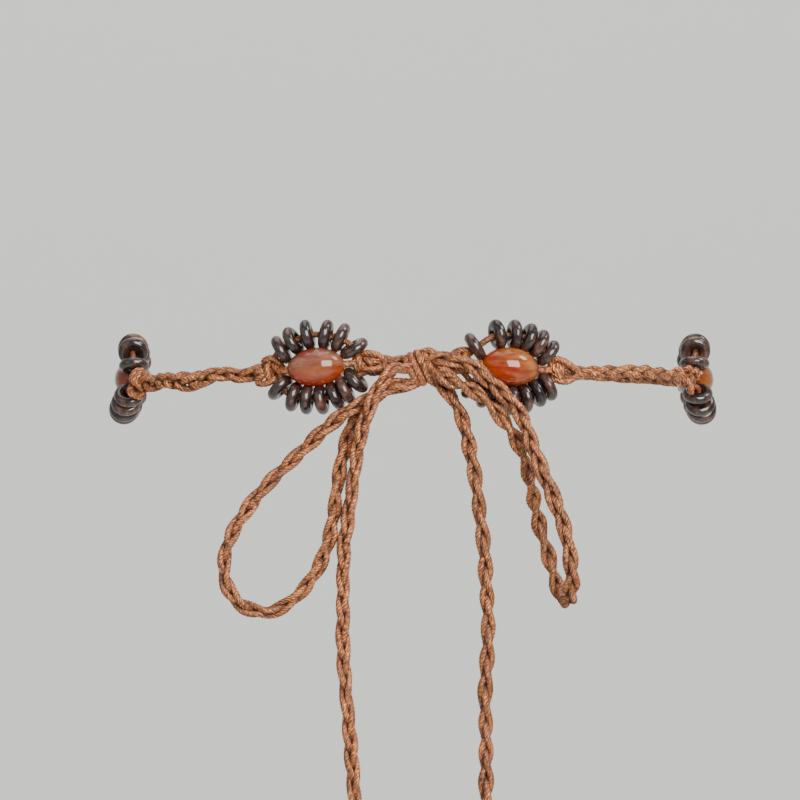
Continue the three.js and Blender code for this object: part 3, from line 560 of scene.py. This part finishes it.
class Shape:
    """Points, faces, and each point's values for the materials, gathered for one mesh."""

    def __init__(self):
        self.points = []
        self.faces = []
        self.maps = []
        self.painted_shade_or_height = []
        self.tint = []
        self.count = 0

    def add_grid(self, grid, uv, closed_ends, painted_shade_or_height=None, tint=0.5):
        """A sheet of points rolled up across its rows, with its ends closed or left open."""
        rows, sides = grid.shape[:2]
        start = self.count
        self.points.append(grid.reshape(-1, 3))
        self.painted_shade_or_height.append(np.zeros(rows * sides) if painted_shade_or_height is None else painted_shade_or_height.reshape(-1))
        self.tint.append(np.full(rows * sides, tint))
        self.count += rows * sides
        i, j = np.meshgrid(np.arange(rows - 1), np.arange(sides), indexing="ij")
        k = (j + 1) % sides
        corners = [i * sides + j, i * sides + k, (i + 1) * sides + k, (i + 1) * sides + j]
        self.faces.extend((start + np.stack(corners, axis=-1)).reshape(-1, 4).tolist())
        around = [j, j + 1, j + 1, j]
        along = [uv[i], uv[i], uv[i + 1], uv[i + 1]]
        corners_of_map = [np.stack([a, b / sides], axis=-1) for a, b in zip(along, around)]
        self.maps.append(np.stack(corners_of_map, axis=-2).reshape(-1, 2))
        if closed_ends:
            first = list(range(start + sides - 1, start - 1, -1))
            last = list(range(start + (rows - 1) * sides, start + rows * sides))
            self.faces.extend([first, last])
            self.maps.append(np.repeat([[uv[0], 0.0], [uv[-1], 0.0]], sides, axis=0))

    def add_strand(self, line, radius, middle=None, shade=0.0):
        """A waxed strand with painted shade: all round, or near middle, the plait's own line. middle is
        the plait's own line, to tell the inner side.
        """
        wides, thins = carried(line, FIRST_ACROSS)
        along = lengths_along(line)
        angles = np.linspace(0, 2 * math.pi, STRAND_SIDES, endpoint=False)
        begin = draws.uniform(0, 2 * math.pi)
        turned = angles[None, :] + (begin + 2 * math.pi * along / YARNS["lead"])[:, None]
        from_end = np.minimum(along, along[-1] - along) / radius
        domed = np.sqrt(1 - (1 - np.clip(from_end, TIP_CUT, 1)) ** 2)
        fast_swell = np.sin(along * SWELL["fast"] + begin)
        slow_swell = np.sin(along * SWELL["slow"])
        thick = radius * (1 + SWELL["share"] * fast_swell * slow_swell)
        ridges = YARNS["height"] * np.cos(YARNS["count"] * angles)
        reach = (thick * domed)[:, None] + ridges[None, :]
        sideways = (reach * np.cos(turned))[..., None] * wides[:, None, :]
        inward = (reach * np.sin(turned))[..., None] * thins[:, None, :]
        grid = line[:, None, :] + sideways + inward
        # Painted shade: the given shade all round, or painted crevice shade near the plait's middle
        # line.
        painted_shade_or_height = np.full(grid.shape[:2], shade)
        if middle is not None:
            off = np.linalg.norm(grid - middle[:, None, :], axis=-1)
            painted_shade_or_height = 1 - swept((off - PAINTED_SHADE_WITHIN) / PAINTED_SHADE_FADES_OVER)
        self.add_grid(grid, along, True, painted_shade_or_height, draws.uniform())

    def add_plait(self, line, plait):
        for strand in plait_strands(line, plait):
            self.add_strand(strand, plait["strand"], middle=line)

    def build(self, name, material, nodes=()):
        mesh = bpy.data.meshes.new(name)
        mesh.from_pydata(np.concatenate(self.points).tolist(), [], self.faces)
        layer = mesh.uv_layers.new(name="strand")
        layer.data.foreach_set("uv", np.concatenate(self.maps).astype(np.float32).ravel())
        for label, values in (("painted_shade_or_height", self.painted_shade_or_height), ("tint", self.tint)):
            attribute = mesh.attributes.new(label, "FLOAT", "POINT")
            attribute.data.foreach_set("value", np.concatenate(values).astype(np.float32))
        mesh.polygons.foreach_set("use_smooth", [True] * len(mesh.polygons))
        mesh.materials.append(material)
        mesh.update()
        piece = bpy.data.objects.new(name, mesh)
        bpy.context.scene.collection.objects.link(piece)
        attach(piece, "root")
        if nodes:
            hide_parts(*nodes)
        return piece


# Places on the waist.


def waist_point(angle):
    sine = math.sin(math.radians(angle))
    cosine = math.cos(math.radians(angle))
    across = abs(sine / WAIST["half_width"]) ** WAIST["roundness"]
    deep = abs(cosine / WAIST["half_depth"]) ** WAIST["roundness"]
    radius = (across + deep) ** (-1 / WAIST["roundness"])
    return np.array([radius * sine, -radius * cosine, 0])


def degree_step(angle):
    """The straight step along the waist over the degree about an angle."""
    return waist_point(angle + 0.5) - waist_point(angle - 0.5)


def waist_tangent(angle):
    return unit(degree_step(angle))


def place_on(angle, out, height):
    tangent = waist_tangent(angle)
    place = waist_point(angle) + out * np.array([tangent[1], -tangent[0], 0])
    place[2] = height
    return place


def belt_height(angle):
    return BELT_HEIGHT["middle"] + BELT_HEIGHT["swing"] * math.cos(2 * math.radians(angle))


def angle_along(angle, distance, steps=20):
    """The angle that lies a distance further along the waist."""
    for _ in range(steps):
        angle += distance / steps / np.linalg.norm(degree_step(angle))
    return angle


def frame_on_waist(angle, out, height, tilt):
    """A place whose x runs along the belt, y into the waist and z up."""
    tangent = waist_tangent(angle)
    turned = Matrix.Rotation(math.atan2(tangent[1], tangent[0]), 4, "Z")
    tilted = Matrix.Rotation(math.radians(-tilt), 4, "Y")
    return Matrix.Translation(Vector(place_on(angle, out, height))) @ turned @ tilted


def moved(matrix, points):
    m = np.array(matrix)
    return np.asarray(points, float) @ m[:3, :3].T + m[:3, 3]


# Beads and rings.


def turned_grid(profile, sides, matrix):
    """A profile of (along the axle, radius) turned about local x, then placed."""
    angles = np.linspace(0, 2 * math.pi, sides, endpoint=False)
    along = np.repeat(profile[:, :1], sides, axis=1)
    grid = np.stack([along, profile[:, 1:] * np.cos(angles), profile[:, 1:] * np.sin(angles)], axis=-1)
    return moved(matrix, grid)


def bead_profile():
    """The bead's outside from end to end, then back through its drilled hole."""
    first = math.asin((BEAD["hole"] / BEAD["radius"]) ** (1 / BEAD["taper"]))
    turn = np.linspace(first, math.pi - first, BEAD["rows"])
    radius = BEAD["radius"] * np.sin(turn) ** BEAD["taper"]
    outside = np.stack([-BEAD["half_length"] * np.cos(turn), radius], axis=1)
    return np.concatenate([outside, outside[:1]])


def squared(values):
    return np.sign(values) * np.abs(values) ** RING["squareness"]


def ring_profile():
    """A worn wooden ring's rounded section, closed on itself."""
    turn = np.linspace(0, 2 * math.pi, RING["rows"])
    reach = (RING["outer"] - RING["hole"]) / 2
    radius = RING["outer"] - reach + reach * squared(np.cos(turn))
    return np.stack([RING["half_thickness"] * squared(np.sin(turn)), radius], axis=1)


def ring_place(row, medallion_row, sink):
    """A ring's middle, the way it points and its axle, in its medallion's own frame."""
    at, points, turned, lift = row
    at = math.radians(at)
    edge = np.array([BEAD["half_length"] * math.cos(at), 0, BEAD["radius"] * math.sin(at)])
    away = unit(np.array([math.cos(at) / BEAD["half_length"], 0, math.sin(at) / BEAD["radius"]]))
    middle = edge + away * (RING["outer"] + RING_CLEARANCE + lift)
    leans_out = max(-middle[2], 0) * math.tan(math.radians(medallion_row["foot"]))
    middle[1] = medallion_row["deep"] + sink * (middle[0] / SINK_AT) ** 2 - leans_out
    pointing = np.array([math.cos(math.radians(points)), 0, math.sin(math.radians(points))])
    flat_axle = np.array([-pointing[2], 0, pointing[0]])
    side = np.cross(pointing, flat_axle)
    turned = math.radians(turned)
    axle = math.cos(turned) * flat_axle + math.sin(turned) * side
    return middle, pointing, axle


def ring_matrix(middle, pointing, axle):
    """The place of a ring turned about local x: x along the axle."""
    side = np.cross(axle, pointing)
    columns = [axle, pointing, side, middle]
    return Matrix([[*(column[i] for column in columns)] for i in range(3)] + [[0, 0, 0, 1]])


# Knots.


def wrap_line(half_height, half_depth, lean, shift, points=60):
    """One turn round a knot, in a plane that leans, from behind and round to behind again."""
    turn = np.linspace(-math.pi, math.pi, points)
    z = half_height * np.sin(turn)
    y = -half_depth * np.cos(turn)
    x = shift + z * math.tan(math.radians(lean))
    return np.stack([x, y, z], axis=1)


# Materials.


def new_material(name):
    material = bpy.data.materials.new(name)
    material.use_nodes = True
    return material, material.node_tree, material.node_tree.nodes["Principled BSDF"]


def feed(tree, socket, value):
    """Gives a socket a value of its own or another node's output."""
    if isinstance(value, bpy.types.NodeSocket):
        tree.links.new(value, socket)
    else:
        socket.default_value = value


def add_node(tree, kind, settings=None, **inputs):
    """A shader node, with inputs as values or as other nodes' outputs."""
    node = tree.nodes.new("ShaderNode" + kind)
    for key, value in (settings or {}).items():
        setattr(node, key, value)
    for key, value in inputs.items():
        feed(tree, node.inputs[key], value)
    return node


def give(shader, values):
    for name, value in values.items():
        shader.inputs[name].default_value = value


def ramp(tree, fac, stops):
    """A colour ramp of (position, colour) stops."""
    node = add_node(tree, "ValToRGB", Fac=fac)
    elements = node.color_ramp.elements
    while len(elements) < len(stops):
        elements.new(0.5)
    for element, (position, colour) in zip(elements, stops):
        element.position = position
        element.color = (*colour, 1)
    return node.outputs["Color"]


def mixed(tree, fac, a, b, blend="MIX"):
    node = add_node(tree, "Mix", {"data_type": "RGBA", "blend_type": blend})
    for index, value in ((0, fac), (6, a), (7, b)):
        feed(tree, node.inputs[index], value)
    return node.outputs[2]


def point_value(tree, name):
    return add_node(tree, "Attribute", {"attribute_name": name}).outputs["Fac"]


def scaled_noise(tree, vector, scale, size, detail, roughness=0.5):
    """Noise on a vector that is first scaled along each axis."""
    scaled = add_node(tree, "Mapping", Vector=vector, Scale=scale).outputs["Vector"]
    noise = add_node(tree, "TexNoise", Vector=scaled, Scale=size, Detail=detail, Roughness=roughness)
    return noise.outputs["Fac"]


def bump(tree, height, strength, distance, normal=None):
    node = add_node(tree, "Bump", Strength=strength, Distance=distance, Height=height)
    if normal is not None:
        tree.links.new(normal, node.inputs["Normal"])
    return node.outputs["Normal"]


def calculated(tree, operation, a, b=0.0):
    node = add_node(tree, "Math", {"operation": operation})
    feed(tree, node.inputs[0], a)
    feed(tree, node.inputs[1], b)
    return node.outputs["Value"]


def yarn_height(tree, around):
    """How high the surface stands across each yarn, from near 0 between two yarns to 1 on one."""
    place = calculated(tree, "FRACT", calculated(tree, "MULTIPLY", around, YARNS["count"]))
    off = calculated(tree, "ABSOLUTE", calculated(tree, "SUBTRACT", place, 0.5))
    lowered = calculated(tree, "SUBTRACT", 1.0, calculated(tree, "MULTIPLY", off, YARN_SLOPE))
    return calculated(tree, "SQRT", lowered)


def cord_material():
    """Waxed cotton: copper tan yarns, pale fibres, painted shade in its grooves, glossy painted glints.
    """
    material, tree, shader = new_material("waxed_cotton")
    strand_map = add_node(tree, "UVMap", {"uv_map": "strand"}).outputs["UV"]
    place = add_node(tree, "TexCoord").outputs["Object"]
    around = add_node(tree, "SeparateXYZ", Vector=strand_map).outputs["Y"]
    fibres = scaled_noise(tree, strand_map, *CORD_FIBRES)
    values = {
        "specks_and_glints": scaled_noise(tree, strand_map, *CORD_SPECKS),
        "patches": scaled_noise(tree, place, *CORD_PATCHES),
        "tint": point_value(tree, "tint"),
        "yarns": yarn_height(tree, around),
    }
    tone = ramp(tree, fibres, CORD_TONES)
    for look, value in values.items():
        tone = mixed(tree, 1.0, tone, ramp(tree, value, CORD_SHADES[look]), "MULTIPLY")
    # Painted crevice shade between a plait's strands, and painted shade all round the strands of rings.
    tone = mixed(tree, point_value(tree, "painted_shade_or_height"), tone, (*PAINTED_CREVICE_SHADE, 1))
    tree.links.new(tone, shader.inputs["Base Color"])
    glints = ramp(tree, values["specks_and_glints"], CORD_GLINTS)
    tree.links.new(glints, shader.inputs["Roughness"])
    give(shader, CORD_GLOSS)
    coarse = bump(tree, values["yarns"], *CORD_BUMPS["yarns"])
    fine = bump(tree, fibres, *CORD_BUMPS["fibres"], coarse)
    finest = bump(tree, values["specks_and_glints"], *CORD_BUMPS["specks_and_glints"], fine)
    tree.links.new(finest, shader.inputs["Normal"])
    return material


def agate_run(tree, place, row):
    """Where each point lies in the run of an agate's tones, stirred by its clouds."""
    strand_map = add_node(tree, "UVMap", {"uv_map": "strand"}).outputs["UV"]
    along = add_node(tree, "SeparateXYZ", Vector=strand_map).outputs["X"]
    clouds = add_node(tree, "TexNoise", Vector=place, Scale=row["clouds"], **AGATE_CLOUDS)
    off_middle = calculated(tree, "SUBTRACT", clouds.outputs["Fac"], 0.5)
    run_along, run_up = row["run"]
    run = calculated(tree, "MULTIPLY", along, run_along * 0.5 / BEAD["half_length"])
    up = calculated(tree, "MULTIPLY", point_value(tree, "painted_shade_or_height"), run_up * 0.5)
    run = calculated(tree, "ADD", run, up)
    stir = calculated(tree, "MULTIPLY", off_middle, row["stir"] * 2)
    return calculated(tree, "ADD", calculated(tree, "ADD", run, stir), 0.5)


def agate_material(name, row):
    """Polished clouded agate that lets some light through."""
    material, tree, shader = new_material("agate_" + name)
    object_place = add_node(tree, "TexCoord").outputs["Object"]
    mapping = add_node(tree, "Mapping", Vector=object_place, Location=row["shift"])
    place = mapping.outputs["Vector"]
    tone = ramp(tree, agate_run(tree, place, row), row["tones"])
    veins = ramp(tree, scaled_noise(tree, place, *AGATE_VEINS), AGATE_VEIN_SHADES)
    tone = mixed(tree, AGATE_VEIN_SHARE, tone, veins, "MULTIPLY")
    tree.links.new(tone, shader.inputs["Base Color"])
    give(shader, AGATE_GLOSS)
    return material


def wood_material():
    """Dark polished wood with browner streaks."""
    material, tree, shader = new_material("dark_wood")
    place = add_node(tree, "TexCoord").outputs["Object"]
    streaks = scaled_noise(tree, place, *WOOD_STREAKS)
    tinted = ramp(tree, point_value(tree, "tint"), WOOD_TINT)
    tone = mixed(tree, 1.0, ramp(tree, streaks, WOOD_TONES), tinted, "MULTIPLY")
    tree.links.new(tone, shader.inputs["Base Color"])
    give(shader, WOOD_GLOSS)
    tree.links.new(bump(tree, streaks, *WOOD_BUMP), shader.inputs["Normal"])
    return material


def stage_material():
    material, _, shader = new_material("pale_floor")
    give(shader, STAGE_LOOK)
    return material


CORD = cord_material()
WOOD = wood_material()
AGATES = {name: agate_material(name, row) for name, row in AGATE_LOOKS.items()}


# Knots as pieces.


def hitch_piece(name, knot, node, side):
    """The strands' hitch beside a medallion. side is 1 where the bead lies before it."""
    shape = Shape()
    if name in SEEN_HITCHES:
        for route in SEEN_HITCHES[name] + HITCH_CORE:
            shape.add_strand(smooth_line(route) + np.array(knot.translation), HITCH_STRAND)
    else:
        mirrored = np.array([side, 1, 1])
        for route in TIGHT_HITCH:
            shape.add_strand(moved(knot, smooth_line(np.array(route) * mirrored)), HITCH_STRAND)
    shape.build(name, CORD, [node])


def bow_knot_piece():
    """The bow's knot: two pairs of strands drawn tight round it, over the turns that fill it."""
    leaning = Matrix.Rotation(math.radians(BOW_KNOT["lean"]), 4, "Y")
    place = Matrix.Translation(BOW_KNOT["at"]) @ leaning
    shape = Shape()
    for shift, height, depth in BOW_KNOT["turns"]:
        line = wrap_line(height - KNOT_STRAND, depth - KNOT_STRAND, BOW_KNOT["more_lean"], shift)
        shape.add_strand(moved(place, line), KNOT_STRAND)
    shape.add_strand(smooth_line(BOW_KNOT_END), BOW_STRAND)
    shape.build("knot_of_bow", CORD, ["bow_knot"])


def tail_knot_piece(name, foot, node):
    """A tail's knot: turns of its own strands, and their loose ends below."""
    place = Matrix.Translation(Vector(foot))
    shape = Shape()
    for lean, shift, height, depth in TAIL_KNOT_TURNS:
        line = wrap_line(height - BOW_STRAND, depth - BOW_STRAND, lean, shift)
        shape.add_strand(moved(place, line), BOW_STRAND)
    for route in TAIL_ENDS:
        shape.add_strand(moved(place, smooth_line(route)), BOW_STRAND)
    return shape.build(name, CORD, [node])


# The parts of the belt.


def bead_piece(name, place, height):
    """A medallion's agate. Its shade-or-height value holds how far up the bead a point is."""
    shape = Shape()
    profile = bead_profile()
    grid = turned_grid(profile, BEAD["sides"], place)
    shape.add_grid(grid, profile[:, 0], False, painted_shade_or_height=(grid[..., 2] - height) / BEAD["radius"])
    shape.build("agate_" + name, AGATES[name], [name + "_bead"])


def middle_strand_piece(name, place, ends):
    """The strand through a medallion's agate, from hitch to hitch."""
    shape = Shape()
    mouths = [(side * (BEAD["half_length"] + GAP), 0, 0) for side in (-1, 1)]
    shape.add_strand(moved(place, smooth_line([ends[0], *mouths, ends[1]])), STRAND)
    shape.build("strand_middle_" + name, CORD, [name + "_bead_cord"])


def ring_row_pieces(row, part, side, place, ends, sink):
    """A medallion's upper or lower rings, and the strand that they sit on."""
    name = row["name"]
    rings = Shape()
    route = [ends[0] + side * STRAND_RISE * UP]
    for ring_row in PETALS[name][part]:
        middle, pointing, axle = ring_place(ring_row, row, sink)
        ring = turned_grid(ring_profile(), RING["sides"], place @ ring_matrix(middle, pointing, axle))
        rings.add_grid(ring, np.linspace(0, 1, len(ring)), False, tint=draws.uniform())
        in_hole = middle - RING_STRAND_INSET * pointing
        reach = side * RING["half_thickness"] * axle
        route.extend([in_hole + reach, in_hole - reach])
    route.append(ends[1] + side * STRAND_RISE * UP)
    rings.build(f"rings_{part}_{name}", WOOD, [f"{name}_rings_{part}"])
    strand = Shape()
    # Painted shade all round this strand, which runs in the rings' shadow.
    strand.add_strand(moved(place, smooth_line(route)), RING_STRAND, shade=RING_STRAND_SHADE)
    strand.build(f"strand_{part}_{name}", CORD)


def medallion(row):
    """One flower with its hitches. Returns the middles of its left and right hitch."""
    name = row["name"]
    height = belt_height(row["angle"])
    place = frame_on_waist(row["angle"], BEAD["out"], height, row["tilt"])
    knots = [
        frame_on_waist(angle_along(row["angle"], along), out, height + rise, 0)
        for along, rise, out in row["knots"]
    ]
    ends = [np.array((place.inverted() @ knot).translation) for knot in knots]
    stand_off = BEAD["out"] - (row["knots"][0][2] + row["knots"][1][2]) / 2
    sink = (ends[0][1] + ends[1][1]) / 2 - stand_off
    bead_piece(name, place, height)
    middle_strand_piece(name, place, ends)
    for part, side in (("upper", 1), ("lower", -1)):
        ring_row_pieces(row, part, side, place, ends, sink)
    for end, knot, side in (("a", knots[0], -1), ("b", knots[1], 1)):
        hitch_piece(f"hitch_{name}_{end}", knot, f"{name}_knot_{end}", side)
    return [np.array(knot.translation) for knot in knots]


def waist_plait(part, start, route, end, plait):
    """The plait of one part of the waist, between two hitches or a hitch and the bow."""
    on_waist = [place_on(angle, PLAIT_OUT, height) for angle, height in route]
    shape = Shape()
    shape.add_plait(smooth_line([start, *on_waist, end]), plait)
    shape.build("plait_" + part, CORD, ["braid_" + part])


def back_route():
    angles = np.linspace(BACK["from"], 360 - BACK["from"], BACK["parts"] + 1)[1:-1]
    return [(angle, belt_height(angle)) for angle in angles]


def make_waist():
    """The medallions and the plaits between them."""
    left_side, front_left, front_right, right_side = [medallion(row) for row in MEDALLIONS]
    waist_plait("back", right_side[1], back_route(), left_side[0], BACK_PLAIT)
    waist_plait("left", left_side[1], BRAID_LEFT_ROUTE, front_left[0], BELT_PLAIT)
    waist_plait("right", front_right[1], BRAID_RIGHT_ROUTE, right_side[0], RIGHT_PLAIT)
    waist_plait("front_left", front_left[1], [], BELT_END_LEFT, BELT_PLAIT)
    waist_plait("front_right", BELT_END_RIGHT, [], front_right[0], BELT_PLAIT)


def hanging_plait(name, node, route, plait):
    """A plait of the bow. Returns its piece and its middle line."""
    line = smooth_line(route)
    shape = Shape()
    shape.add_plait(line, plait)
    return shape.build(name, CORD, [node]), line


def make_bow():
    """The bow's knot, and its two loops and two tails, which hang free."""
    bow_knot_piece()
    loops = (("left", LOOP_LEFT_ROUTE, HANGING_PLAIT), ("right", LOOP_RIGHT_ROUTE, OPEN_PLAIT))
    for side, route, plait in loops:
        loop, line = hanging_plait("loop_of_bow_" + side, "bow_loop_" + side, route, plait)
    for side, route in (("left", TAIL_LEFT_ROUTE), ("right", TAIL_RIGHT_ROUTE)):
        tail, line = hanging_plait("tail_of_bow_" + side, "tail_" + side, route, HANGING_PLAIT)
        knot = tail_knot_piece("tail_knot_and_ends_" + side, route[-1], "tail_knot_" + side)


# Stage, light and camera.


def stage_profile():
    """The stage's radius and height from its middle out: a floor, a bend and a wall."""
    bend = STAGE["bend"]
    profile = [(STAGE["hole"], STAGE["floor"]), (STAGE["radius"] - bend, STAGE["floor"])]
    for part in range(1, STAGE["bend_parts"] + 1):
        turn = math.radians(90 * part / STAGE["bend_parts"])
        radius = STAGE["radius"] - bend * (1 - math.sin(turn))
        profile.append((radius, STAGE["floor"] + bend * (1 - math.cos(turn))))
    return [*profile, (STAGE["radius"], STAGE["top"])]


def make_stage():
    """A pale floor that rises into a round backdrop."""
    sides = STAGE["sides"]
    profile = stage_profile()
    turns = [2 * math.pi * side / sides for side in range(sides)]
    points = []
    for radius, height in profile:
        points.extend((radius * math.cos(turn), radius * math.sin(turn), height) for turn in turns)
    faces = []
    for below in range(0, sides * (len(profile) - 1), sides):
        above = below + sides
        for side in range(sides):
            after = (side + 1) % sides
            faces.append((below + side, below + after, above + after, above + side))
    mesh = bpy.data.meshes.new("stage")
    mesh.from_pydata(points, [], faces)
    mesh.polygons.foreach_set("use_smooth", [True] * len(mesh.polygons))
    mesh.materials.append(stage_material())
    floor = bpy.data.objects.new("stage", mesh)
    bpy.context.scene.collection.objects.link(floor)


def soft_light(name, place, target, width, height, power, colour):
    light = bpy.data.lights.new(name, "AREA")
    light.shape = "RECTANGLE"
    light.size = width
    light.size_y = height
    light.energy = power
    light.color = colour
    lamp = bpy.data.objects.new(name, light)
    lamp.location = place
    lamp.rotation_euler = (Vector(target) - Vector(place)).to_track_quat("-Z", "Y").to_euler()
    bpy.context.scene.collection.objects.link(lamp)


def make_camera():
    camera = bpy.data.cameras.new("camera")
    camera.sensor_width = CAMERA["sensor"]
    camera.lens = CAMERA["lens"]
    camera.clip_end = CAMERA["sees_to"]
    holder = bpy.data.objects.new("camera", camera)
    holder.location = CAMERA["at"]
    holder.rotation_euler = (math.radians(90), 0, 0)
    bpy.context.scene.collection.objects.link(holder)
    bpy.context.scene.camera = holder


def make_world():
    world = bpy.data.worlds.new("pale_room")
    world.use_nodes = True
    background = world.node_tree.nodes["Background"]
    background.inputs["Color"].default_value = (*WORLD["colour"], 1)
    background.inputs["Strength"].default_value = WORLD["strength"]
    bpy.context.scene.world = world


make_waist()
make_bow()
make_stage()
make_world()
for light_row in LIGHTS:
    soft_light(*light_row)
make_camera()
